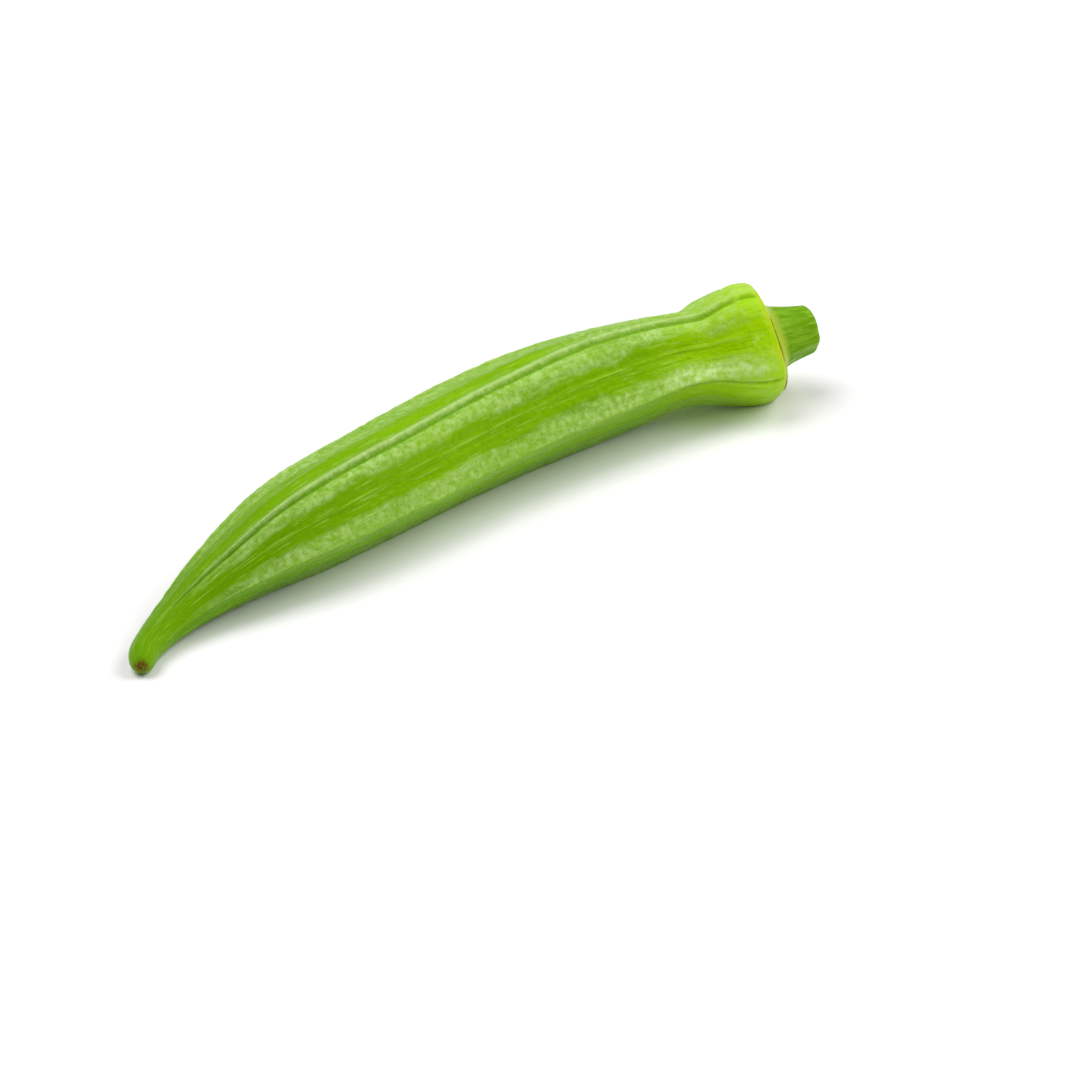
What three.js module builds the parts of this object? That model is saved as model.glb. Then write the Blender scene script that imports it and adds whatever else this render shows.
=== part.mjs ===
// Okra pod lying on its side: a five-ridged curved pod with a flared cap and the cut stub of its stem.
// One closed solid, millimetres, +X from the tip toward the stem, +Z up, resting on z = 0.
import { Box3, BufferGeometry, Float32BufferAttribute, Group, Mesh, MeshStandardMaterial, Vector3 } from "three";

// Lengths along the pod, measured from just beyond the tip toward the stem
const TIP_X = 0.7;
const RIM_X = 120.7;
const STEM_LENGTH = 7.0;
const TIP_DOME_LENGTH = 2.2;
// Below 1 the tip's end is blunter than a half ellipse
const TIP_DOME_FULLNESS = 0.8;

// Sideways bow of the pod's middle line as [x, y]; the outer side of the bow is +Y
const BOW = [
  [0, -0.3], [4, 3.6], [12, 6.1], [23, 7.1], [37, 7.65], [52, 8.45],
  [67, 9.25], [84, 8.65], [101, 5.85], [112, 3.1], [RIM_X, -0.1],
];
// Height of the middle line above the surface as [x, z]; cap, belly and tip touch the surface
const HEIGHT = [
  [0, 1.9], [4, 1.8], [12, 3.3], [20, 5.2], [30, 7.1], [40, 7.75], [56, 8.1],
  [74, 8.68], [92, 9.25], [104, 9.55], [110, 9.2], [116.6, 9.3], [RIM_X, 9.35],
];
// The stem climbs a little as it leaves the cap
const STEM_RISE = 0.08;
// Radius over the ridges as [x, radius]
const RADIUS = [
  [0, 1.9], [4, 2.12], [10, 2.82], [17, 4.1], [24, 5.55], [32, 7.1], [40, 7.95], [50, 8.35],
  [62, 8.75], [76, 9.05], [88, 8.9], [98, 8.25], [105, 7.48], [109.5, 7.5], [113.2, 8.9], [116.5, 9.85],
];
// Share of the radius by which the middle of a face lies below the ridges
const FACE_DEPTH = [
  [0, 0.03], [8, 0.06], [16, 0.12], [26, 0.18], [40, 0.21], [96, 0.22], [106, 0.24], [112, 0.22],
  [117, 0.17], [RIM_X, 0.12],
];

// How sunken the fine line on a ridge's lower side is, as [x, share]
const FAINT_LINE = [[4, 0], [14, 0.2]];
const STRONG_LINE = [[6, 0], [22, 1]];
const LINE_FROM_THE_NECK = [[92, 0], [104, 1]];

// Ridges round the section. Angle in degrees from straight up, positive toward -Y, as [x, angle];
// width in degrees, how square the ridge is, and its line
const RIDGES = [
  { angle: [[0, -66], [14, -54], [RIM_X, -56]], width: 12, squareness: 2, line: FAINT_LINE },
  {
    angle: [[0, -10], [7, 6], [12, 14], [18, 18.5], [30, 18.5], [75, 16], [92, 10], [RIM_X, 8]],
    width: 31, squareness: 5, line: STRONG_LINE,
  },
  {
    angle: [[0, 66], [15, 84], [32, 93], [92, 93], [104, 92], [RIM_X, 96]],
    width: 15, squareness: 2, line: LINE_FROM_THE_NECK,
  },
  { angle: [[0, 148], [20, 163], [RIM_X, 166]], width: 12, squareness: 2, line: FAINT_LINE },
  { angle: [[0, 222], [20, 235], [RIM_X, 237]], width: 12, squareness: 2, line: FAINT_LINE },
];

// Thin raised crest on every ridge: height, width in degrees, and where it starts and ends
const CREST_HEIGHT = 0.34;
const CREST_WIDTH = 3.0;
const CREST_FADE_AT_TIP = [5, 22];
const CREST_FADE_AT_RIM = [RIM_X - 12, RIM_X - 2];
// Fine sunken line below the crest: depth, degrees away from the crest, width in degrees, and where it ends
const LINE_DEPTH = 0.30;
const LINE_AWAY = 5.6;
const LINE_WIDTH = 2.0;
const LINE_FADE_AT_RIM = [RIM_X - 2, RIM_X];

// Raised seam running down the middle of every face
const SEAM_HEIGHT = 0.08;
const SEAM_START_X = 14;
const SEAM_FADE = 14;

// Rounded rim of the cap, the shoulder behind it and the stem, as [distance behind the rim, radius]
const RIM_AND_STEM = [
  [-3.7, 9.9], [-2.4, 9.9], [-1.4, 9.75], [-0.7, 9.45], [-0.2, 8.95], [0.1, 8.3], [0.45, 6.8], [0.9, 5.7],
  [1.6, 5.1], [2.8, 4.65], [4.4, 4.25], [5.8, 4.0], [STEM_LENGTH - 0.4, 3.85], [STEM_LENGTH, 3.5],
];
const STEM_FACE_DEPTH = 0.06;

// The rim leans: its upper -Y side lies nearer the tip than its lower +Y side
const RIM_LEAN = 2.0;
const RIM_LEAN_ANGLE = 25;
const RIM_LEAN_START_X = 98;
const RIM_LEAN_END = 3;

// How finely the surface is divided
const COLUMNS_IN_A_FACE = [0, 0.04, 0.078, 0.12, 0.2, 0.3, 0.4, 0.5, 0.6, 0.7, 0.8, 0.88, 0.95];
const SEAM_COLUMN = 0.5;
const BODY_ROWS = 62;
const DOME_ROWS = 5;

const PEEL_COLOUR = 0x7cb40a;
const DEGREE = Math.PI / 180;
// Distance over which the middle line's slope is measured
const SLOPE_STEP = 0.5;

// Smooth curve through [x, value] points, level beyond both ends
function curve(points, x) {
  const last = points.length - 1;
  if (x <= points[0][0]) return points[0][1];
  if (x >= points[last][0]) return points[last][1];
  let i = 0;
  while (x > points[i + 1][0]) i += 1;
  const slopeAt = (k) => {
    const before = points[Math.max(k - 1, 0)];
    const after = points[Math.min(k + 1, last)];
    return (after[1] - before[1]) / (after[0] - before[0]);
  };
  const span = points[i + 1][0] - points[i][0];
  const t = (x - points[i][0]) / span;
  const startWeight = 2 * t ** 3 - 3 * t ** 2 + 1;
  const startSlopeWeight = (t ** 3 - 2 * t ** 2 + t) * span;
  const endSlopeWeight = (t ** 3 - t ** 2) * span;
  return startWeight * points[i][1] + (1 - startWeight) * points[i + 1][1]
    + startSlopeWeight * slopeAt(i) + endSlopeWeight * slopeAt(i + 1);
}

// Middle line of the pod; past the rim it runs on straight along the cap's own direction
function middle(x) {
  const inside = Math.min(x, RIM_X);
  const rimSlope = (curve(BOW, RIM_X) - curve(BOW, RIM_X - SLOPE_STEP)) / SLOPE_STEP;
  const past = x - inside;
  return new Vector3(x, curve(BOW, inside) + past * rimSlope, curve(HEIGHT, inside) + past * STEM_RISE);
}

// Directions at x: "along" toward the stem, and "up" and "side" across the pod, side pointing toward -Y
function directions(x) {
  const from = middle(Math.max(x - SLOPE_STEP, 0));
  const along = middle(Math.max(x, SLOPE_STEP) + SLOPE_STEP).sub(from).normalize();
  const side = new Vector3().crossVectors(along, new Vector3(0, 0, 1)).normalize();
  const up = new Vector3().crossVectors(side, along);
  return { along, up, side };
}

// 0 below the first of the two values, 1 above the second, smooth between
function ramp(x, [low, high]) {
  const t = Math.min(Math.max((x - low) / (high - low), 0), 1);
  return t * t * (3 - 2 * t);
}

// 1 at zero, falling away to both sides over about width
function bump(distance, width) {
  return Math.exp(-((distance / width) ** 2));
}

// 1 on a ridge's crest, falling toward 0 over its width
function ridgeForm(ridge, away) {
  return 1 / (1 + (away / ridge.width) ** ridge.squareness);
}

// Columns round the pod at x: angle, share of the way to the next ridge, share of the face depth that is
// filled, degrees to the nearest crest and how sunken the line there is
function columns(x) {
  const list = [];
  RIDGES.forEach((ridge, i) => {
    const wrapped = i + 1 === RIDGES.length;
    const next = RIDGES[wrapped ? 0 : i + 1];
    const start = curve(ridge.angle, x);
    const span = curve(next.angle, x) + (wrapped ? 360 : 0) - start;
    COLUMNS_IN_A_FACE.forEach((share) => {
      const near = ridgeForm(ridge, share * span);
      const far = ridgeForm(next, (1 - share) * span);
      list.push({
        angle: start + share * span,
        share,
        filled: near + far - near * far,
        away: Math.min(share, 1 - share) * (360 / RIDGES.length),
        line: share < SEAM_COLUMN ? curve(ridge.line, x) : 0,
      });
    });
  });
  return list;
}

// Height of crest, line and seam at x for one column
function detailHeight(x, { share, away, line }) {
  const crest = CREST_HEIGHT * bump(away, CREST_WIDTH) * ramp(x, CREST_FADE_AT_TIP)
    * (1 - ramp(x, CREST_FADE_AT_RIM));
  const sunken = LINE_DEPTH * line * bump(away - LINE_AWAY, LINE_WIDTH) * (1 - ramp(x, LINE_FADE_AT_RIM));
  return crest - sunken + (share === SEAM_COLUMN ? seamHeight(x) : 0);
}

// Height of the seam at x: it rises out of the tip and dies away into the cap
function seamHeight(x) {
  const fromTip = Math.min(Math.max((x - SEAM_START_X) / SEAM_FADE, 0), 1);
  const fromRim = Math.min(Math.max((RIM_X - x) / SEAM_FADE, 0), 1);
  return SEAM_HEIGHT * fromTip * fromRim;
}

// How far the rim's lean carries a ridge back at x: growing from the neck to the rim, gone along the stem
function leanAt(x) {
  if (x > RIM_X) return RIM_LEAN * Math.max(1 - (x - RIM_X) / RIM_LEAN_END, 0);
  return RIM_LEAN * Math.max((x - RIM_LEAN_START_X) / (RIM_X - RIM_LEAN_START_X), 0) ** 2;
}

// One closed ring of points round the pod
function ring(x, radius, faceDepth) {
  const centre = middle(x);
  const { along, up, side } = directions(x);
  const lean = leanAt(x) / curve(RADIUS, x);
  return columns(x).map((column) => {
    const reach = radius * (1 - faceDepth * (1 - column.filled)) + detailHeight(x, column);
    const turn = column.angle * DEGREE;
    const point = centre.clone()
      .addScaledVector(up, reach * Math.cos(turn))
      .addScaledVector(side, reach * Math.sin(turn))
      .addScaledVector(along, -lean * reach * Math.cos(turn - RIM_LEAN_ANGLE * DEGREE));
    point.z = Math.max(point.z, 0);
    return point;
  });
}

// Rounded end of the tip: rings closing in on a point
function tipRings() {
  const rings = [];
  for (let row = 1; row <= DOME_ROWS; row += 1) {
    const turn = (row / (DOME_ROWS + 1)) * (Math.PI / 2);
    const x = TIP_X + TIP_DOME_LENGTH * (1 - Math.cos(turn));
    rings.push(ring(x, curve(RADIUS, x) * Math.sin(turn) ** TIP_DOME_FULLNESS, curve(FACE_DEPTH, x)));
  }
  return rings;
}

function bodyRings() {
  const rings = [];
  const start = TIP_X + TIP_DOME_LENGTH;
  const end = RIM_X + RIM_AND_STEM[0][0];
  for (let row = 0; row < BODY_ROWS; row += 1) {
    const x = start + (end - start) * (row / BODY_ROWS);
    rings.push(ring(x, curve(RADIUS, x), curve(FACE_DEPTH, x)));
  }
  return rings;
}

function rimAndStemRings() {
  return RIM_AND_STEM.map(([behind, radius]) => {
    const faceDepth = behind > 0 ? STEM_FACE_DEPTH : curve(FACE_DEPTH, RIM_X + behind);
    return ring(RIM_X + behind, radius, faceDepth);
  });
}

// Closed surface through the rings, with one point closing each end
function skinGeometry() {
  const rings = [...tipRings(), ...bodyRings(), ...rimAndStemRings()];
  const round = rings[0].length;
  const points = rings.flat();
  const tipEnd = points.push(middle(TIP_X)) - 1;
  const stemEnd = points.push(middle(RIM_X + STEM_LENGTH)) - 1;
  const faces = [];
  for (let row = 0; row + 1 < rings.length; row += 1) {
    for (let k = 0; k < round; k += 1) {
      const near = row * round + k;
      const nearNext = row * round + ((k + 1) % round);
      faces.push(near, nearNext, nearNext + round);
      faces.push(near, nearNext + round, near + round);
    }
  }
  const lastRow = (rings.length - 1) * round;
  for (let k = 0; k < round; k += 1) {
    const next = (k + 1) % round;
    faces.push(tipEnd, next, k);
    faces.push(stemEnd, lastRow + k, lastRow + next);
  }
  const geometry = new BufferGeometry();
  geometry.setAttribute("position", new Float32BufferAttribute(points.flatMap((p) => p.toArray()), 3));
  geometry.setIndex(faces);
  return geometry;
}

// Put the middle of the pod's footprint at the origin
function centreOverOrigin(geometry) {
  const box = new Box3().setFromBufferAttribute(geometry.getAttribute("position"));
  const centre = box.getCenter(new Vector3());
  geometry.translate(-centre.x, -centre.y, -box.min.z);
  geometry.computeVertexNormals();
  return geometry;
}

function okraPod() {
  const peel = new MeshStandardMaterial({ color: PEEL_COLOUR, roughness: 0.55 });
  const pod = new Mesh(centreOverOrigin(skinGeometry()), peel);
  pod.name = "okra_pod";
  return pod;
}

const part = new Group();
part.name = "okra_pod_part";
part.add(okraPod());

export default part;
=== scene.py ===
import math

import bpy
import numpy as np
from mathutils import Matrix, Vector


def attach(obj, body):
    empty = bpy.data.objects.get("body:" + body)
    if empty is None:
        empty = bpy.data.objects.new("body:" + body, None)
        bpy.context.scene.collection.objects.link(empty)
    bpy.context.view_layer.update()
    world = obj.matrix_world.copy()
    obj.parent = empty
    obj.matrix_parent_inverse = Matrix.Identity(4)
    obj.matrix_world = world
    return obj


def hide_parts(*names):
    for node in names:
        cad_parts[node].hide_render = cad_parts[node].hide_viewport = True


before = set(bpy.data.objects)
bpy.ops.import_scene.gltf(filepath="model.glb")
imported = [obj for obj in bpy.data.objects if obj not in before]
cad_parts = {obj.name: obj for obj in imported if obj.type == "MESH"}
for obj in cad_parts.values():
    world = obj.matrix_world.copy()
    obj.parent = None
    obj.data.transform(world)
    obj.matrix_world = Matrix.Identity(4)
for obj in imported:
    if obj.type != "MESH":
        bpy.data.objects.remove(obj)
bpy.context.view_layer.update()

# Okra pod on a pale floor. Lengths here are millimetres until they become mesh points.
MM = 0.001
DEGREE = math.pi / 180

# The pod's own lengths run from its tip toward the stem; this point of them is the frame's origin
FOOTPRINT_MIDDLE = (64.54, 4.34)

# Form of the pod, the same as the solid's
TIP_X = 0.7
RIM_X = 120.7
STEM_LENGTH = 7.0
TIP_DOME_LENGTH = 2.2
TIP_DOME_FULLNESS = 0.8
BOW = [
    (0, -0.3), (4, 3.6), (12, 6.1), (23, 7.1), (37, 7.65), (52, 8.45),
    (67, 9.25), (84, 8.65), (101, 5.85), (112, 3.1), (RIM_X, -0.1),
]
HEIGHT = [
    (0, 1.9), (4, 1.8), (12, 3.3), (20, 5.2), (30, 7.1), (40, 7.75), (56, 8.1),
    (74, 8.68), (92, 9.25), (104, 9.55), (110, 9.2), (116.6, 9.3), (RIM_X, 9.35),
]
STEM_RISE = 0.08
RADIUS = [
    (0, 1.9), (4, 2.12), (10, 2.82), (17, 4.1), (24, 5.55), (32, 7.1), (40, 7.95), (50, 8.35), (62, 8.75),
    (76, 9.05), (88, 8.9), (98, 8.25), (105, 7.48), (109.5, 7.5), (113.2, 8.9), (116.5, 9.85),
]
FACE_DEPTH = [
    (0, 0.03), (8, 0.06), (16, 0.12), (26, 0.18), (40, 0.21), (96, 0.22), (106, 0.24), (112, 0.22),
    (117, 0.17), (RIM_X, 0.12),
]
# How sunken the fine line on a ridge's lower side is at points along the pod
FAINT_LINE = [(4, 0), (14, 0.2)]
STRONG_LINE = [(6, 0), (22, 1)]
LINE_FROM_THE_NECK = [(92, 0), (104, 1)]
# Each ridge: its angle from straight up at points along the pod, how many degrees wide it is, how square
# it is, its line, how pale its crest is, and how fuzzy the peel is above and below it and for what share
# of the face. The crest's paleness and the fuzz are pale fuzz together with a painted highlight, the fuzz
# heaviest on the flank that faces the light.
RIDGES = [
    {
        "angle": [(0, -66), (14, -54), (RIM_X, -56)],
        "width": 12, "squareness": 2, "line": FAINT_LINE,
        "pale": 0.4, "fuzz": (0.6, 0.9), "fuzz_reach": (0.36, 0.34),
    },
    {
        "angle": [(0, -10), (7, 6), (12, 14), (18, 18.5), (30, 18.5), (75, 16), (92, 10), (RIM_X, 8)],
        "width": 31, "squareness": 5, "line": STRONG_LINE,
        "pale": 1.0, "fuzz": (0.1, 1.0), "fuzz_reach": (0.10, 0.34),
    },
    {
        "angle": [(0, 66), (15, 84), (32, 93), (92, 93), (104, 92), (RIM_X, 96)],
        "width": 15, "squareness": 2, "line": LINE_FROM_THE_NECK,
        "pale": 0.1, "fuzz": (1.0, 0.15), "fuzz_reach": (0.25, 0.2),
    },
    {
        "angle": [(0, 148), (20, 163), (RIM_X, 166)],
        "width": 12, "squareness": 2, "line": FAINT_LINE,
        "pale": 0.4, "fuzz": (0.6, 0.6), "fuzz_reach": (0.3, 0.3),
    },
    {
        "angle": [(0, 222), (20, 235), (RIM_X, 237)],
        "width": 12, "squareness": 2, "line": FAINT_LINE,
        "pale": 0.4, "fuzz": (0.6, 0.6), "fuzz_reach": (0.3, 0.3),
    },
]
# Thin raised crest on every ridge, and the fine sunken line a few degrees below it
CREST_HEIGHT = 0.34
CREST_WIDTH = 3.0
CREST_FADE_AT_TIP = (5, 22)
CREST_FADE_AT_RIM = (RIM_X - 12, RIM_X - 2)
LINE_DEPTH = 0.30
LINE_AWAY = 5.6
LINE_WIDTH = 2.0
LINE_FADE_AT_RIM = (RIM_X - 2, RIM_X)
# Raised seam down the middle of every face, with a shallow groove beside it; widths are shares of a face
SEAM_SHARE = 0.5
SEAM_HEIGHT = 0.08
SEAM_WIDTH = 0.022
SEAM_GROOVE_DEPTH = 0.05
SEAM_GROOVE_AWAY = 0.07
SEAM_GROOVE_WIDTH = 0.03
SEAM_START_X = 14
SEAM_FADE = 14
# Rounded rim of the cap, the shoulder behind it and the stem, as (distance behind the rim, radius)
RIM_AND_STEM = [
    (-3.7, 9.9), (-2.4, 9.9), (-1.4, 9.75), (-0.7, 9.45), (-0.2, 8.95), (0.1, 8.3), (0.45, 6.8),
    (0.9, 5.7), (1.6, 5.1), (2.8, 4.65), (4.4, 4.25), (5.8, 4.0), (STEM_LENGTH - 0.4, 3.85),
    (STEM_LENGTH, 3.5),
]
STEM_FACE_DEPTH = 0.06
# The rim leans: its upper -Y side lies nearer the tip than its lower +Y side
RIM_LEAN = 2.0
RIM_LEAN_ANGLE = 25
RIM_LEAN_START_X = 98
RIM_LEAN_END = 3
# Distance over which the middle line's slope is measured
SLOPE_STEP = 0.5

# Random patterns over the skin: seed, length of a cell along the pod and cells round it
LONG_THREADS = (11, 9.0, 110)
SHORT_THREADS = (12, 5.0, 60)
SMALL_PEBBLES = (13, 0.9, 60)
LARGE_PEBBLES = (16, 1.6, 34)
SWELLINGS = (14, 11.0, 10)
NECK_THREADS = (15, 16.0, 80)
LONG_GROOVES = (21, 6.0, 26)
SHORT_GROOVES = (22, 1.5, 40)
SCAR_GRAIN = (23, 0.5, 50)
LONG_RAGS = (31, 7.0, 30)
SHORT_RAGS = (32, 2.0, 50)
FUZZ_PATCHES = (33, 9.0, 16)

# Fine unevenness of the peel
LONG_THREAD_HEIGHT = 0.045
SHORT_THREAD_HEIGHT = 0.03
SMALL_PEBBLE_HEIGHT = 0.045
LARGE_PEBBLE_HEIGHT = 0.03
SWELLING_HEIGHT = 0.08
NECK_THREAD_HEIGHT = 0.05
NECK_THREADS_GROW = (84, 108)
RELIEF_FADE_AT_TIP = (3, 12)
RELIEF_FADE_AT_RIM = (RIM_X - 3, RIM_X - 0.5)

# Stem: lengthwise grooves, and the sunken line where the flower's cup came away
STEM_GROOVES_START = (RIM_X + 0.8, RIM_X + 2.2)
LONG_GROOVE_DEPTH = 0.10
SHORT_GROOVE_DEPTH = 0.05
SCAR_X = RIM_X - 0.05
SCAR_DEPTH = 0.16
SCAR_WIDTH = 0.10
SCAR_ROUGHNESS = 0.05
SCAR_ROUGH_WIDTH = 0.6

# Paleness of the crests, pale fuzz with a painted highlight: width, and where it starts, grows to its full
# strength and weakens at the cap
PALE_CREST_WIDTH = 0.7 * CREST_WIDTH
PALE_CREST_STARTS = (5, 14)
PALE_CREST_GROWS = (10, 34)
PALE_CREST_AT_TIP = 0.35
PALE_CREST_WEAKENS = (104, 116)
PALE_CREST_LOST_AT_CAP = 0.5

# Fuzz on the ridges' flanks, pale fuzz with a painted highlight: its ragged edge as shares of a face,
# how patchy it is, and where along the pod it starts and ends
LONG_RAG_SIZE = 0.07
SHORT_RAG_SIZE = 0.04
FUZZ_EDGE_BEFORE = 0.08
FUZZ_EDGE_AFTER = 0.05
FUZZ_PATCHINESS = 0.25
FUZZ_STARTS = (8, 26)
FUZZ_ENDS = (111, 118)
FUZZ_LOST_AT_CAP = 0.8
# Pale fuzz with painted sheen on top of the neck, and a painted highlight on the cap's side round one angle
NECK_TOP_FACE = 0
NECK_TOP_FUZZ_AND_SHEEN = 0.8
NECK_TOP_STARTS = (78, 92)
CAP_SIDE_HIGHLIGHT = 1.3
CAP_SIDE_ANGLE = 84
CAP_SIDE_WIDTH = 9
CAP_SIDE_STARTS = (96, 106)
CAP_SIDE_ENDS = (116, 120)

# Fineness of the skin
ROUND_COLUMNS = 240
DOME_ROWS = 10
BODY_ROWS = 330
RIM_ROWS = 46
CUT_ROWS = 6

# Hairs: how many, where along the pod, length from and to, and how far they stray from straight out
HAIR_SEED = 41
HAIR_COUNT = 15000
HAIR_START_X = 6
HAIR_END_X = 117
HAIR_LOWEST = 0.8
HAIR_LENGTH = (0.22, 0.5)
HAIR_THICKNESS = 0.05
HAIR_ROOT_DEPTH = 0.05
HAIR_SPREAD = 0.35
# Chance of a hair on bare peel, and what a crest adds to it over how many degrees
HAIR_CHANCE_ANYWHERE = 0.03
HAIR_CHANCE_ON_CREST = 1.2
HAIR_CREST_WIDTH = 5.0

# Camera: 30 degrees above the floor, half a metre from the point it looks at
CAMERA_TURN = 43.33
CAMERA_ELEVATION = 30
CAMERA_DISTANCE = 500
CAMERA_LENS = 116.67
CAMERA_AIM = (64.97, -8.99)
SENSOR_WIDTH = 36.0

# Floor and lights, in metres
FLOOR_HALF = 3.0
LIGHT_AIM = (0, 0, 0.01)


# Numbers

def curve(points, x):
    """Smooth curve through (x, value) points, level beyond both ends."""
    knots = np.array([p[0] for p in points], float)
    values = np.array([p[1] for p in points], float)
    slopes = np.empty_like(values)
    slopes[1:-1] = (values[2:] - values[:-2]) / (knots[2:] - knots[:-2])
    slopes[0] = (values[1] - values[0]) / (knots[1] - knots[0])
    slopes[-1] = (values[-1] - values[-2]) / (knots[-1] - knots[-2])
    x = np.clip(np.asarray(x, float), knots[0], knots[-1])
    i = np.clip(np.searchsorted(knots, x, side="right") - 1, 0, len(knots) - 2)
    span = knots[i + 1] - knots[i]
    t = (x - knots[i]) / span
    start = 2 * t ** 3 - 3 * t ** 2 + 1
    start_slope = (t ** 3 - 2 * t ** 2 + t) * span
    end_slope = (t ** 3 - t ** 2) * span
    return (start * values[i] + (1 - start) * values[i + 1]
            + start_slope * slopes[i] + end_slope * slopes[i + 1])


def bump(x, middle_x, width):
    """1 at middle_x, falling away to both sides over about width."""
    return np.exp(-((x - middle_x) / width) ** 2)


def ramp(x, low, high):
    """0 below low, 1 above high, smooth between."""
    t = np.clip((x - low) / (high - low), 0, 1)
    return t * t * (3 - 2 * t)


def mottle(pattern, along, turn):
    """Smooth random field from -1 to 1 over the skin; it closes up round the pod."""
    seed, cell_along, cells_round = pattern
    rows = int(np.max(along) / cell_along) + 4
    lattice = np.random.default_rng(seed).uniform(-1, 1, (rows, cells_round))
    u = along / cell_along + 1
    v = turn / 360 * cells_round
    row = np.floor(u).astype(int)
    column = np.floor(v).astype(int)
    a = u - row
    b = v - column
    a = a * a * (3 - 2 * a)
    b = b * b * (3 - 2 * b)
    row = np.clip(row, 0, rows - 2)
    left = column % cells_round
    right = (column + 1) % cells_round
    near = lattice[row, left] * (1 - b) + lattice[row, right] * b
    far = lattice[row + 1, left] * (1 - b) + lattice[row + 1, right] * b
    return near * (1 - a) + far * a


# Form of the pod

def middle(x):
    """Middle line of the pod; past the rim it runs on straight along the cap's own direction."""
    x = np.asarray(x, float)
    inside = np.minimum(x, RIM_X)
    past = x - inside
    rim_slope = (curve(BOW, RIM_X) - curve(BOW, RIM_X - SLOPE_STEP)) / SLOPE_STEP
    sideways = curve(BOW, inside) + past * rim_slope
    height = curve(HEIGHT, inside) + past * STEM_RISE
    return np.stack([x, sideways, height], -1)


def directions(x):
    """Along toward the stem, and up and side across the pod, side pointing toward -Y."""
    along = middle(np.maximum(x, SLOPE_STEP) + SLOPE_STEP) - middle(np.maximum(x - SLOPE_STEP, 0))
    along /= np.linalg.norm(along, axis=-1, keepdims=True)
    side = np.cross(along, [0.0, 0.0, 1.0])
    side /= np.linalg.norm(side, axis=-1, keepdims=True)
    return along, np.cross(side, along), side


def lean_at(x):
    """How far the rim's lean carries a ridge back at x: growing from the neck, gone along the stem."""
    growing = np.maximum((x - RIM_LEAN_START_X) / (RIM_X - RIM_LEAN_START_X), 0) ** 2
    fading = np.maximum(1 - (x - RIM_X) / RIM_LEAN_END, 0)
    return RIM_LEAN * np.where(x > RIM_X, fading, growing)


def ridge_angles(x):
    """Angle of every ridge at x, with the first one again a full turn on."""
    angles = [curve(ridge["angle"], x) for ridge in RIDGES]
    return angles + [angles[0] + 360]


def ridge_form(ridge, away):
    """1 on a ridge's crest, falling toward 0 over its width in degrees."""
    return 1 / (1 + (away / ridge["width"]) ** ridge["squareness"])


def section(x):
    """Round the pod at x: angle, share of the way to the next ridge, share of the face depth filled."""
    per_face = ROUND_COLUMNS // len(RIDGES)
    share = np.arange(per_face) / per_face
    angles = ridge_angles(x)
    turn = []
    filled = []
    for i, ridge in enumerate(RIDGES):
        following = RIDGES[(i + 1) % len(RIDGES)]
        span = (angles[i + 1] - angles[i])[:, None]
        near = ridge_form(ridge, share * span)
        far = ridge_form(following, (1 - share) * span)
        turn.append(angles[i][:, None] + share * span)
        filled.append(near + far - near * far)
    return np.concatenate(turn, 1), np.tile(share, len(RIDGES)), np.concatenate(filled, 1)


def rows():
    """Station, outer radius and face depth of each row, from the tip to the edge of the stem's cut."""
    turn = np.arange(1, DOME_ROWS + 1) / (DOME_ROWS + 1) * math.pi / 2
    dome = TIP_X + TIP_DOME_LENGTH * (1 - np.cos(turn))
    dome_radius = curve(RADIUS, dome) * np.sin(turn) ** TIP_DOME_FULLNESS
    behind, radius = zip(*RIM_AND_STEM)
    steps = np.hypot(np.diff(behind), np.diff(radius))
    reached = np.concatenate([[0], np.cumsum(steps)])
    walk = np.linspace(0, reached[-1], RIM_ROWS)
    rim = RIM_X + np.interp(walk, reached, behind)
    rim_radius = np.interp(walk, reached, radius)
    body = np.linspace(TIP_X + TIP_DOME_LENGTH, rim[0], BODY_ROWS, endpoint=False)
    stations = np.concatenate([dome, body, rim])
    radii = np.concatenate([dome_radius, curve(RADIUS, body), rim_radius])
    depth = np.where(stations > RIM_X, STEM_FACE_DEPTH, curve(FACE_DEPTH, stations))
    return stations, radii, depth


def seam_strength(x):
    """1 where the seam stands at its full height: it rises out of the tip and dies away into the cap."""
    return np.clip((x - SEAM_START_X) / SEAM_FADE, 0, 1) * np.clip((RIM_X - x) / SEAM_FADE, 0, 1)


def to_crest(share):
    """Share of a face between a column and the nearest ridge."""
    return np.minimum(share, 1 - share)


def degrees_to_crest(share):
    return to_crest(share) * 360 / len(RIDGES)


def face_of_column(share):
    """Which face each column lies on, counted from the first ridge."""
    return np.arange(share.shape[1]) * len(RIDGES) // share.shape[1]


def per_column(share, values_below, values_above):
    """The nearest ridge's value: below that ridge in a face's first half, above it in the second."""
    face = face_of_column(share)
    below = np.array(values_below)[face]
    above = np.array(values_above)[(face + 1) % len(RIDGES)]
    return np.where(share < 0.5, below[None, :], above[None, :])


def flank_values(share, name):
    """A ridge's pair of values (above it, below it) at every column."""
    return per_column(share, [ridge[name][1] for ridge in RIDGES], [ridge[name][0] for ridge in RIDGES])


def sunken_line(x, share):
    """1 along the fine sunken line on the lower side of a ridge."""
    per_face = share.shape[1] // len(RIDGES)
    per_ridge = np.stack([curve(ridge["line"], x[:, 0]) for ridge in RIDGES], 1)
    strength = np.repeat(per_ridge, per_face, axis=1)
    lower_side = share < 0.5
    across = bump(degrees_to_crest(share), LINE_AWAY, LINE_WIDTH)
    return lower_side * strength * across * (1 - ramp(x, *LINE_FADE_AT_RIM))


def seam_height(share):
    """Raised seam with a shallow groove on both its sides."""
    groove = SEAM_GROOVE_DEPTH * bump(np.abs(share - SEAM_SHARE), SEAM_GROOVE_AWAY, SEAM_GROOVE_WIDTH)
    return SEAM_HEIGHT * bump(share, SEAM_SHARE, SEAM_WIDTH) - groove


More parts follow.
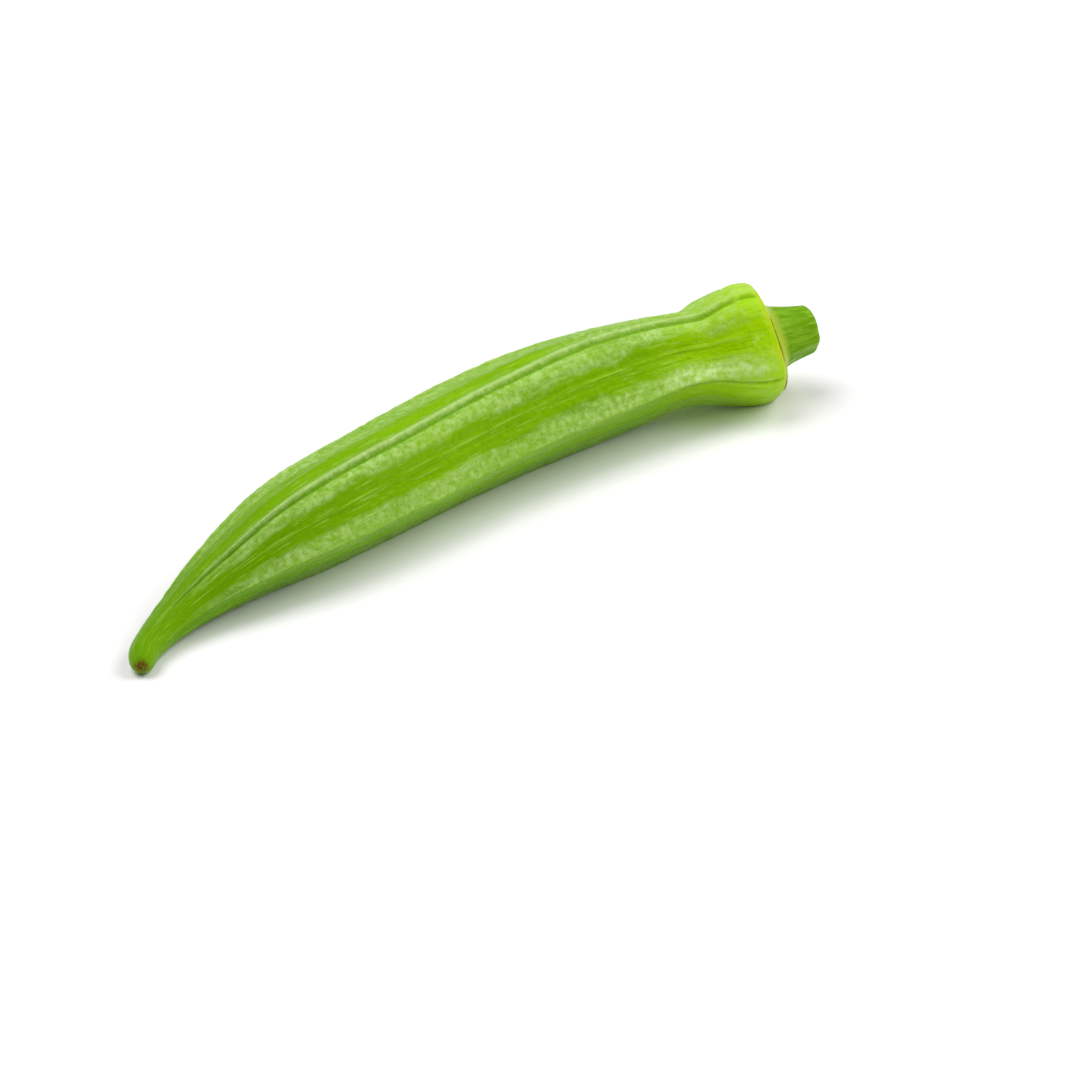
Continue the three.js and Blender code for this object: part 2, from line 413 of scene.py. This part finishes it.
def crest_height(x, share):
    """Raised crest of every ridge and the sunken line beside it."""
    strength = ramp(x, *CREST_FADE_AT_TIP) * (1 - ramp(x, *CREST_FADE_AT_RIM))
    crest = strength * CREST_HEIGHT * bump(degrees_to_crest(share), 0, CREST_WIDTH)
    return crest - LINE_DEPTH * sunken_line(x, share)


def unevenness(x, turn):
    """Lengthwise threads, small pebbles and broad swellings of the peel, gone at the tip and the rim."""
    threads = (LONG_THREAD_HEIGHT * mottle(LONG_THREADS, x, turn)
               + SHORT_THREAD_HEIGHT * mottle(SHORT_THREADS, x, turn))
    pebbles = (SMALL_PEBBLE_HEIGHT * mottle(SMALL_PEBBLES, x, turn)
               + LARGE_PEBBLE_HEIGHT * mottle(LARGE_PEBBLES, x, turn))
    swellings = SWELLING_HEIGHT * mottle(SWELLINGS, x, turn)
    neck_threads = NECK_THREAD_HEIGHT * mottle(NECK_THREADS, x, turn) * ramp(x, *NECK_THREADS_GROW)
    on_body = ramp(x, *RELIEF_FADE_AT_TIP) * (1 - ramp(x, *RELIEF_FADE_AT_RIM))
    return on_body * (threads + pebbles + swellings + neck_threads)


def relief(x, share, turn):
    """Fine raised and sunken detail of the peel, in mm."""
    return seam_strength(x) * seam_height(share) + crest_height(x, share) + unevenness(x, turn)


def crest_paleness_and_highlight(x, share):
    """1 along the pale crest of the palest ridge, pale fuzz with a painted highlight, less on the others
    and near both ends.
    """
    pales = [ridge["pale"] for ridge in RIDGES]
    toward_tip = PALE_CREST_AT_TIP + (1 - PALE_CREST_AT_TIP) * ramp(x, *PALE_CREST_GROWS)
    toward_rim = 1 - PALE_CREST_LOST_AT_CAP * ramp(x, *PALE_CREST_WEAKENS)
    across = bump(degrees_to_crest(share), 0, PALE_CREST_WIDTH)
    lengthwise = toward_tip * toward_rim * ramp(x, *PALE_CREST_STARTS)
    return per_column(share, pales, pales) * lengthwise * across


def flank_fuzz_and_highlight(x, share, turn):
    """Pale fuzz beside the ridges with a painted highlight on their lit flanks, with ragged edges."""
    ragged = (LONG_RAG_SIZE * mottle(LONG_RAGS, x, turn)
              + SHORT_RAG_SIZE * mottle(SHORT_RAGS, x, turn))
    edge = flank_values(share, "fuzz_reach")
    reach = 1 - ramp(to_crest(share) + ragged, edge - FUZZ_EDGE_BEFORE, edge + FUZZ_EDGE_AFTER)
    lengthwise = ramp(x, *FUZZ_STARTS) * (1 - FUZZ_LOST_AT_CAP * ramp(x, *FUZZ_ENDS))
    return flank_values(share, "fuzz") * reach * lengthwise


def fuzz_and_highlight(x, share, turn):
    """How fuzzy and pale the peel is, fuzz with painted highlight and sheen: most on the ridges' flanks,
    the neck's top and the cap's side.
    """
    patchy = 1 - FUZZ_PATCHINESS * (1 - mottle(FUZZ_PATCHES, x, turn))
    top_face = (face_of_column(share) == NECK_TOP_FACE)[None, :]
    # Pale fuzz with painted sheen on the neck's top
    neck_top = NECK_TOP_FUZZ_AND_SHEEN * top_face * ramp(x, *NECK_TOP_STARTS)
    # Painted highlight on the cap's side
    cap_side_highlight = CAP_SIDE_HIGHLIGHT * bump(turn, CAP_SIDE_ANGLE, CAP_SIDE_WIDTH)
    cap_side_highlight = cap_side_highlight * ramp(x, *CAP_SIDE_STARTS) * (1 - ramp(x, *CAP_SIDE_ENDS))
    spread_fuzz_and_highlight = np.maximum(flank_fuzz_and_highlight(x, share, turn), neck_top)
    return patchy * spread_fuzz_and_highlight * (1 - sunken_line(x, share)) + cap_side_highlight


def stem_relief(x, turn):
    """Lengthwise grooves of the stem and the sunken line where the flower's cup came away."""
    grooves = (LONG_GROOVE_DEPTH * mottle(LONG_GROOVES, x, turn)
               + SHORT_GROOVE_DEPTH * mottle(SHORT_GROOVES, x, turn))
    rough = SCAR_ROUGHNESS * mottle(SCAR_GRAIN, x, turn) * bump(x, RIM_X, SCAR_ROUGH_WIDTH)
    scar = rough - SCAR_DEPTH * bump(x, SCAR_X, SCAR_WIDTH)
    return ramp(x, *STEM_GROOVES_START) * grooves + scar


def skin_points():
    """Grid of points over the skin in mm, with each point's station, share and angle."""
    stations, radii, depth = rows()
    turn, shares, filled = section(stations)
    x = stations[:, None] + 0 * turn
    share = 0 * x + shares[None, :]
    reach = radii[:, None] * (1 - depth[:, None] * (1 - filled))
    around = turn % 360
    reach = reach + relief(x, share, around) + stem_relief(x, around)
    along, up, side = directions(stations)
    lean_share = (lean_at(stations) / curve(RADIUS, stations))[:, None]
    lean = lean_share * reach * np.cos((turn - RIM_LEAN_ANGLE) * DEGREE)
    across = (reach * np.cos(turn * DEGREE))[..., None] * up[:, None, :]
    across = across + (reach * np.sin(turn * DEGREE))[..., None] * side[:, None, :]
    points = middle(stations)[:, None, :] + across - lean[..., None] * along[:, None, :]
    points[..., 2] = np.maximum(points[..., 2], 0)
    return points, x, share, around


def in_frame(points):
    """Pod millimetres to frame metres."""
    shifted = np.array(points, float)
    shifted[..., 0] -= FOOTPRINT_MIDDLE[0]
    shifted[..., 1] -= FOOTPRINT_MIDDLE[1]
    return shifted * MM


# Meshes

def mesh_object(name, points, faces, smooth=True):
    mesh = bpy.data.meshes.new(name)
    mesh.from_pydata([tuple(p) for p in points], [], faces)
    mesh.update()
    if smooth:
        mesh.polygons.foreach_set("use_smooth", [True] * len(mesh.polygons))
    piece = bpy.data.objects.new(name, mesh)
    bpy.context.collection.objects.link(piece)
    return piece


def give(piece, name, values):
    """Keep one number per point on the mesh, for the material to read."""
    attribute = piece.data.attributes.new(name, "FLOAT", "POINT")
    attribute.data.foreach_set("value", np.asarray(values, np.float32))


def grid_faces(row_count, round_count):
    faces = []
    for row in range(row_count - 1):
        for k in range(round_count):
            following = (k + 1) % round_count
            near = row * round_count
            far = near + round_count
            faces.append((near + k, near + following, far + following, far + k))
    return faces


def cut_rings(edge, centre):
    """Rings of points over the stem's cut face, closing in on its middle."""
    inward = np.arange(1, CUT_ROWS)[:, None, None] / CUT_ROWS
    return edge + (centre - edge) * inward


def skin_faces(row_count, round_count, tip_end, cut_end):
    """Faces through all the rows, with a fan closing each end."""
    faces = grid_faces(row_count, round_count)
    last = (row_count - 1) * round_count
    for k in range(round_count):
        following = (k + 1) % round_count
        faces.append((tip_end, following, k))
        faces.append((cut_end, last + k, last + following))
    return faces


def skin():
    """The whole peel, cap and stem as one closed surface, with what the material reads at every point."""
    points, x, share, turn = skin_points()
    row_count, round_count = x.shape
    centre = points[-1].mean(axis=0)
    cut = cut_rings(points[-1], centre)
    flat = np.concatenate([points.reshape(-1, 3), cut.reshape(-1, 3), [middle(TIP_X)], [centre]])
    faces = skin_faces(row_count + len(cut), round_count, len(flat) - 2, len(flat) - 1)
    piece = mesh_object("peel", in_frame(flat), faces)

    def spread_over(name, on_skin, on_cut, at_tip_end, at_cut_end):
        give(piece, name, np.concatenate([on_skin.ravel(), on_cut.ravel(), [at_tip_end, at_cut_end]]))

    stem_end = RIM_X + STEM_LENGTH
    bare_cut = np.zeros(len(cut) * round_count)
    spread_over("along", x, bare_cut + stem_end, TIP_X, stem_end)
    spread_over("ridge_share", share, np.tile(share[-1], len(cut)), 0, 0)
    spread_over("turn", turn, np.tile(turn[-1], len(cut)), 0, 0)
    # The fuzz attribute is pale fuzz together with a painted highlight on the lit flanks, the neck's top
    # and the cap's side
    spread_over("fuzz", fuzz_and_highlight(x, share, turn), bare_cut, 0, 0)
    spread_over("line", sunken_line(x, share), bare_cut, 0, 0)
    # The crest attribute carries the pale crest, partly a painted highlight
    spread_over("crest", crest_paleness_and_highlight(x, share), bare_cut, 0, 0)
    spread_over("cut", 0 * x, np.repeat(np.arange(1, CUT_ROWS) / CUT_ROWS, round_count), 0, 1)
    return piece


def surface_normals(points):
    """Outward direction at every point of the skin's grid."""
    lengthwise = np.gradient(points, axis=0)
    around = np.roll(points, -1, axis=1) - np.roll(points, 1, axis=1)
    normals = np.cross(around, lengthwise)
    return normals / np.maximum(np.linalg.norm(normals, axis=-1, keepdims=True), 1e-9)


def hair_chance(points, x, share, turn):
    """How likely a hair is at every point of the skin's grid; all of them together make 1."""
    on_crest = HAIR_CHANCE_ON_CREST * bump(degrees_to_crest(share), 0, HAIR_CREST_WIDTH)
    chance = HAIR_CHANCE_ANYWHERE + fuzz_and_highlight(x, share, turn) + on_crest
    has_hair = (x > HAIR_START_X) & (x < HAIR_END_X) & (points[..., 2] > HAIR_LOWEST)
    chance = chance * curve(RADIUS, x) * has_hair
    return chance / chance.sum()


def unit(vectors):
    return vectors / np.linalg.norm(vectors, axis=1, keepdims=True)


def spikes(root, lean, length, beside):
    """Three corners sunk into the peel and one end for every hair."""
    first = unit(np.cross(lean, beside))
    second = np.cross(lean, first)
    sunk = root - HAIR_ROOT_DEPTH * lean
    corners = []
    for corner in range(3):
        around = corner * 2 * math.pi / 3
        outward = math.cos(around) * first + math.sin(around) * second
        corners.append(sunk + HAIR_THICKNESS / 2 * outward)
    corners.append(root + length * lean)
    return np.stack(corners, 1).reshape(-1, 3)


def hairs():
    """Short fine hairs, thickest on the crests and the fuzzy flanks, each a slim closed spike."""
    random = np.random.default_rng(HAIR_SEED)
    points, x, share, turn = skin_points()
    chance = hair_chance(points, x, share, turn)
    chosen = random.choice(x.size, HAIR_COUNT, replace=False, p=chance.ravel())
    root = points.reshape(-1, 3)[chosen]
    outward = surface_normals(points).reshape(-1, 3)[chosen]
    lean = unit(outward + random.normal(0, HAIR_SPREAD, root.shape))
    length = random.uniform(*HAIR_LENGTH, (HAIR_COUNT, 1))
    beside = random.normal(0, 1, root.shape)
    flat = spikes(root, lean, length, beside)
    faces = []
    for hair in range(HAIR_COUNT):
        k = hair * 4
        faces += [(k, k + 2, k + 1), (k, k + 1, k + 3), (k + 1, k + 2, k + 3), (k + 2, k, k + 3)]
    piece = mesh_object("peel_hairs", in_frame(flat), faces)
    give(piece, "toward_tip", np.tile([0, 0, 0, 1], HAIR_COUNT))
    return piece


# Materials

class Sheet:
    """A small node sheet: adds nodes and joins them by name."""

    def __init__(self, name):
        self.material = bpy.data.materials.new(name)
        self.material.use_nodes = True
        self.tree = self.material.node_tree
        self.tree.nodes.clear()
        self.output = self.tree.nodes.new("ShaderNodeOutputMaterial")

    def node(self, kind, settings=None, **inputs):
        made = self.tree.nodes.new("ShaderNode" + kind)
        for key, value in (settings or {}).items():
            setattr(made, key, value)
        for key, value in inputs.items():
            self.put(made, key.replace("_", " "), value)
        return made

    def put(self, made, key, value):
        target = made.inputs[int(key)] if key.isdigit() else made.inputs[key]
        if isinstance(value, bpy.types.NodeSocket):
            self.tree.links.new(value, target)
        else:
            target.default_value = value

    def attribute(self, name):
        return self.node("Attribute", {"attribute_name": name}).outputs["Fac"]

    def math(self, operation, a, b=0.0):
        made = self.node("Math", {"operation": operation})
        self.put(made, "0", a)
        self.put(made, "1", b)
        return made.outputs[0]

    def spread(self, value, low, high, to_low=0.0, to_high=1.0):
        made = self.node("MapRange", {"interpolation_type": "SMOOTHSTEP"})
        for key, given in (("0", value), ("1", low), ("2", high), ("3", to_low), ("4", to_high)):
            self.put(made, key, given)
        return made.outputs[0]

    def mix(self, amount, first, second):
        made = self.node("Mix", {"data_type": "RGBA"})
        self.put(made, "0", amount)
        self.put(made, "6", first)
        self.put(made, "7", second)
        return made.outputs[2]

    def band(self, value, growing, fading):
        """1 inside a band, rising over the first pair of values and falling over the second."""
        rising = self.spread(value, growing[0], growing[1])
        return self.math("MULTIPLY", rising, self.spread(value, fading[1], fading[0]))

    def tint(self, colour, amount, strength, toward):
        return self.mix(self.math("MULTIPLY", amount, strength), colour, toward)

    def noise(self, vector, scale, detail=3.0, roughness=0.5):
        settings = {"Vector": vector, "Scale": scale, "Detail": detail, "Roughness": roughness}
        return self.node("TexNoise", None, **settings).outputs["Fac"]

    def skin_vector(self, along_scale, round_scale):
        """Pattern space along and round the pod, so that marks can be drawn out lengthwise."""
        turn = self.math("MULTIPLY", self.attribute("turn"), DEGREE)
        joined = self.node("CombineXYZ")
        self.put(joined, "0", self.math("MULTIPLY", self.attribute("along"), along_scale))
        self.put(joined, "1", self.math("MULTIPLY", self.math("SINE", turn), round_scale))
        self.put(joined, "2", self.math("MULTIPLY", self.math("COSINE", turn), round_scale))
        return joined.outputs[0]

    def shade(self, shader):
        self.tree.links.new(shader.outputs[0], self.output.inputs["Surface"])
        return self.material


def srgb(red, green, blue):
    """Screen colour from 0 to 255 as linear light."""
    linear = []
    for value in (red, green, blue):
        share = value / 255
        linear.append(share / 12.92 if share <= 0.04045 else ((share + 0.055) / 1.055) ** 2.4)
    return (*linear, 1.0)


TIP_GREEN = srgb(98, 152, 0)
BODY_GREEN = srgb(120, 174, 0)
CAP_GREEN = srgb(162, 214, 4)
PATCH_GREEN = srgb(136, 187, 0)
PALE_THREAD = srgb(160, 205, 20)
DARK_THREAD = srgb(88, 142, 0)
DASH_GREEN = srgb(176, 212, 100)
# Pale crest colour: pale fuzz together with a painted highlight
CREST_PALE_AND_HIGHLIGHT = srgb(184, 210, 140)
# Dark green of the painted shade along the sunken line under a ridge
LINE_SHADE = srgb(92, 150, 0)
# Pale colour painted as the highlight along the raised seam
SEAM_HIGHLIGHT = srgb(172, 210, 70)
# Pale colour of the fuzz, which also paints the highlight bands on the ridges' lit flanks
FROST_AND_HIGHLIGHT = srgb(200, 230, 146)
# Whitish lime of the painted glints on the cap near the rim
RIM_GLINT = srgb(200, 234, 90)
RIM_YELLOW = srgb(184, 204, 16)
RUST = srgb(150, 120, 20)
COLLAR_GREEN = srgb(160, 180, 70)
DARK_STEM = srgb(100, 154, 4)
PALE_STEM = srgb(126, 174, 34)
DARK_FLESH = srgb(190, 204, 120)
PALE_FLESH = srgb(222, 230, 180)
VESSEL_GREEN = srgb(142, 168, 64)
TIP_BROWN = srgb(112, 72, 24)
SHEEN_GREEN = srgb(190, 230, 90)
DARK_HAIR_ROOT = srgb(140, 190, 50)
PALE_HAIR_ROOT = srgb(170, 210, 100)
HAIR_END = srgb(214, 232, 176)
FLOOR_SHADE = srgb(247, 247, 247)
FLOOR_PALE = srgb(250, 250, 250)


def body_green(sheet, along):
    """Darker toward the tip, yellower on the cap, with broad soft patches."""
    body = sheet.mix(sheet.spread(along, 2.0, 60.0), TIP_GREEN, BODY_GREEN)
    colour = sheet.mix(sheet.spread(along, 94.0, 117.0), body, CAP_GREEN)
    patches = sheet.noise(sheet.skin_vector(0.06, 1.6), 1.0)
    return sheet.mix(sheet.spread(patches, 0.4, 0.7, 0.0, 0.3), colour, PATCH_GREEN)


def with_threads(sheet, colour, dashes):
    """Fine lengthwise threads, pale and dark, and short pale dashes."""
    threads = sheet.noise(sheet.skin_vector(0.10, 14.0), 1.0, 4.0, 0.6)
    colour = sheet.mix(sheet.spread(threads, 0.52, 0.72, 0.0, 0.3), colour, PALE_THREAD)
    colour = sheet.mix(sheet.spread(threads, 0.46, 0.3, 0.0, 0.4), colour, DARK_THREAD)
    return sheet.mix(sheet.spread(dashes, 0.60, 0.68, 0.0, 0.4), colour, DASH_GREEN)


def with_ridge_lines(sheet, colour, dashes):
    """Pale crests with a painted highlight, painted shade on the line beside them, and the broken pale seam
    in the middle of a face painted as its highlight.
    """
    # Pale crest: pale fuzz with a painted highlight
    colour = sheet.tint(colour, sheet.attribute("crest"), 0.6, CREST_PALE_AND_HIGHLIGHT)
    # Painted shade darkens the sunken line under each ridge
    colour = sheet.tint(colour, sheet.attribute("line"), 0.7, LINE_SHADE)
    share = sheet.attribute("ridge_share")
    from_seam = sheet.math("ABSOLUTE", sheet.math("SUBTRACT", share, SEAM_SHARE))
    # The seam's broken pale line is a painted highlight of the raised seam
    seam_highlight = sheet.math("MULTIPLY", sheet.spread(from_seam, 0.03, 0.0), sheet.spread(dashes, 0.42, 0.56))
    return sheet.tint(colour, seam_highlight, 0.5, SEAM_HIGHLIGHT)


def with_frost_and_highlight(sheet, colour, frost):
    """Pale fuzz with a painted highlight: fine grains gathered in longer blots."""
    blots = sheet.noise(sheet.skin_vector(0.8, 7.0), 1.0, 3.0, 0.6)
    # Mixing in the pale colour paints the fuzz together with a painted highlight
    grains = sheet.math("MULTIPLY", sheet.spread(frost, 0.34, 0.64, 0.2, 0.7), sheet.attribute("fuzz"))
    amount = sheet.math("MULTIPLY", grains, sheet.spread(blots, 0.36, 0.58, 0.4, 1.0))
    return sheet.mix(amount, colour, FROST_AND_HIGHLIGHT)


def with_rim(sheet, colour, along, place):
    """Painted glints on the cap near the rim, a yellow edge at the rim, and behind it a rusty line and the
    pale collar of the stem.
    """
    rim_speckle = sheet.noise(place, 420.0, 4.0, 0.7)
    on_cap = sheet.band(along, (RIM_X - 8.0, RIM_X - 4.0), (RIM_X - 1.5, RIM_X - 0.5))
    # Painted glints: whitish-lime spots on the cap near the rim
    glints = sheet.math("MULTIPLY", on_cap, sheet.spread(rim_speckle, 0.48, 0.68, 0.0, 0.45))
    colour = sheet.mix(glints, colour, RIM_GLINT)
    near_rim = sheet.spread(along, RIM_X - 2.2, RIM_X - 0.4)
    edge = sheet.math("MULTIPLY", near_rim, sheet.spread(rim_speckle, 0.40, 0.62, 0.1, 0.8))
    colour = sheet.mix(edge, colour, RIM_YELLOW)
    wander = sheet.math("MULTIPLY", sheet.noise(place, 500.0, 3.0, 0.7), 1.6)
    rust_place = sheet.math("ADD", along, wander)
    rust = sheet.band(rust_place, (RIM_X + 0.4, RIM_X + 0.7), (RIM_X + 0.85, RIM_X + 1.1))
    colour = sheet.tint(colour, rust, 0.75, RUST)
    collar = sheet.band(rust_place, (RIM_X + 0.9, RIM_X + 1.3), (RIM_X + 2.2, RIM_X + 3.4))
    return sheet.tint(colour, collar, 0.6, COLLAR_GREEN)


def with_stem(sheet, colour, along):
    """Lengthwise streaks of the stem."""
    streaks = sheet.noise(sheet.skin_vector(0.3, 6.0), 1.0, 3.0)
    stem_green = sheet.mix(sheet.spread(streaks, 0.4, 0.6), DARK_STEM, PALE_STEM)
    return sheet.mix(sheet.spread(along, RIM_X + 0.8, RIM_X + 2.0), colour, stem_green)


def with_cut_face(sheet, colour, place):
    """Pale flesh with pores and a ring of vessels on the stem's cut face."""
    cut = sheet.attribute("cut")
    pores = sheet.noise(place, 2200.0, 2.0, 0.7)
    flesh = sheet.mix(sheet.spread(pores, 0.35, 0.65), DARK_FLESH, PALE_FLESH)
    ring = sheet.band(cut, (0.16, 0.28), (0.32, 0.44))
    vessels = sheet.math("MULTIPLY", ring, sheet.spread(pores, 0.3, 0.6))
    flesh = sheet.mix(vessels, flesh, VESSEL_GREEN)
    return sheet.mix(sheet.spread(cut, 0.02, 0.14), colour, flesh)


def with_tip_scar(sheet, colour, along, place):
    """Brown dried end of the tip."""
    spots = sheet.noise(place, 2600.0, 3.0, 0.7)
    at_end = sheet.spread(along, TIP_X + 0.42, TIP_X + 0.02)
    scar = sheet.math("MULTIPLY", at_end, sheet.spread(spots, 0.40, 0.54, 0.25, 1.0))
    return sheet.mix(scar, colour, TIP_BROWN)


def peel_bump(sheet, place):
    """Very fine grain over coarser lengthwise unevenness."""
    fine = sheet.noise(place, 1500.0, 2.0, 0.6)
    coarse = sheet.noise(sheet.skin_vector(0.9, 9.0), 1.0, 3.0, 0.6)
    grain = sheet.node("Bump", None, Strength=0.35, Distance=0.0002, Height=fine)
    both = sheet.node("Bump", None, Strength=0.5, Distance=0.0004, Height=coarse, Normal=grain.outputs[0])
    return both.outputs[0]


def peel_material():
    sheet = Sheet("peel")
    along = sheet.attribute("along")
    place = sheet.node("TexCoord").outputs["Object"]
    dashes = sheet.noise(sheet.skin_vector(0.22, 26.0), 1.0, 2.0, 0.5)
    frost = sheet.noise(place, 1100.0, 3.0, 0.65)
    colour = body_green(sheet, along)
    colour = with_threads(sheet, colour, dashes)
    colour = with_ridge_lines(sheet, colour, dashes)
    colour = with_frost_and_highlight(sheet, colour, frost)
    colour = with_rim(sheet, colour, along, place)
    colour = with_stem(sheet, colour, along)
    colour = with_cut_face(sheet, colour, place)
    colour = with_tip_scar(sheet, colour, along, place)
    roughness = sheet.spread(frost, 0.3, 0.7, 0.30, 0.46)
    normal = peel_bump(sheet, place)
    shader = sheet.node("BsdfPrincipled", None, Base_Color=colour, Roughness=roughness, Normal=normal)
    shader.inputs["Subsurface Weight"].default_value = 0.12
    shader.inputs["Subsurface Radius"].default_value = (0.6, 1.0, 0.2)
    shader.inputs["Subsurface Scale"].default_value = 0.001
    shader.inputs["Sheen Weight"].default_value = 0.02
    shader.inputs["Sheen Roughness"].default_value = 0.45
    shader.inputs["Sheen Tint"].default_value = SHEEN_GREEN
    shader.inputs["Specular IOR Level"].default_value = 0.1
    shader.inputs["Specular Tint"].default_value = (0.8, 1.0, 0.05, 1.0)
    return sheet.shade(shader)


def hair_material():
    sheet = Sheet("hairs")
    place = sheet.node("TexCoord").outputs["Object"]
    patches = sheet.noise(place, 300.0)
    root_colour = sheet.mix(patches, DARK_HAIR_ROOT, PALE_HAIR_ROOT)
    colour = sheet.mix(sheet.attribute("toward_tip"), root_colour, HAIR_END)
    shader = sheet.node("BsdfPrincipled", None, Base_Color=colour, Roughness=0.6)
    return sheet.shade(shader)


def floor_material():
    sheet = Sheet("floor")
    place = sheet.node("TexCoord").outputs["Object"]
    grain = sheet.noise(place, 40.0)
    colour = sheet.mix(grain, FLOOR_SHADE, FLOOR_PALE)
    shader = sheet.node("BsdfPrincipled", None, Base_Color=colour, Roughness=0.9)
    return sheet.shade(shader)


# Floor, light and camera

def floor():
    half = FLOOR_HALF
    corners = [(-half, -half, 0), (half, -half, 0), (half, half, 0), (-half, half, 0)]
    piece = mesh_object("floor", corners, [(0, 1, 2, 3)], smooth=False)
    piece.data.materials.append(floor_material())


def soft_light(name, place, size, power):
    lamp = bpy.data.lights.new(name, "AREA")
    lamp.shape = "DISK"
    lamp.size = size
    lamp.energy = power
    holder = bpy.data.objects.new(name, lamp)
    holder.location = place
    holder.rotation_euler = (Vector(LIGHT_AIM) - Vector(place)).to_track_quat("-Z", "Y").to_euler()
    bpy.context.collection.objects.link(holder)


def lights():
    soft_light("overhead", (-0.375, 0.44, 1.11), 1.2, 12.6)
    soft_light("gloss", (0.72, -0.46, 0.86), 1.1, 10.5)
    world = bpy.data.worlds.new("studio")
    world.use_nodes = True
    background = world.node_tree.nodes["Background"]
    background.inputs["Color"].default_value = (1.0, 0.88, 1.0, 1.0)
    background.inputs["Strength"].default_value = 0.22
    bpy.context.scene.world = world
    bpy.context.scene.view_settings.view_transform = "Standard"


def camera():
    turn = CAMERA_TURN * DEGREE
    rise = CAMERA_ELEVATION * DEGREE
    aim = Vector(in_frame([(*CAMERA_AIM, 0.0)])[0])
    back = Vector((-math.sin(turn) * math.cos(rise), -math.cos(turn) * math.cos(rise), math.sin(rise)))
    lens = bpy.data.cameras.new("camera")
    lens.lens = CAMERA_LENS
    lens.sensor_width = SENSOR_WIDTH
    holder = bpy.data.objects.new("camera", lens)
    holder.location = aim + back * CAMERA_DISTANCE * MM
    holder.rotation_euler = (-back).to_track_quat("-Z", "Y").to_euler()
    bpy.context.collection.objects.link(holder)
    bpy.context.scene.camera = holder


def dress():
    peel = skin()
    peel.data.materials.append(peel_material())
    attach(peel, "root")
    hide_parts("okra_pod")
    fuzz = hairs()
    fuzz.data.materials.append(hair_material())
    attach(fuzz, "root")


camera()
lights()
floor()
dress()
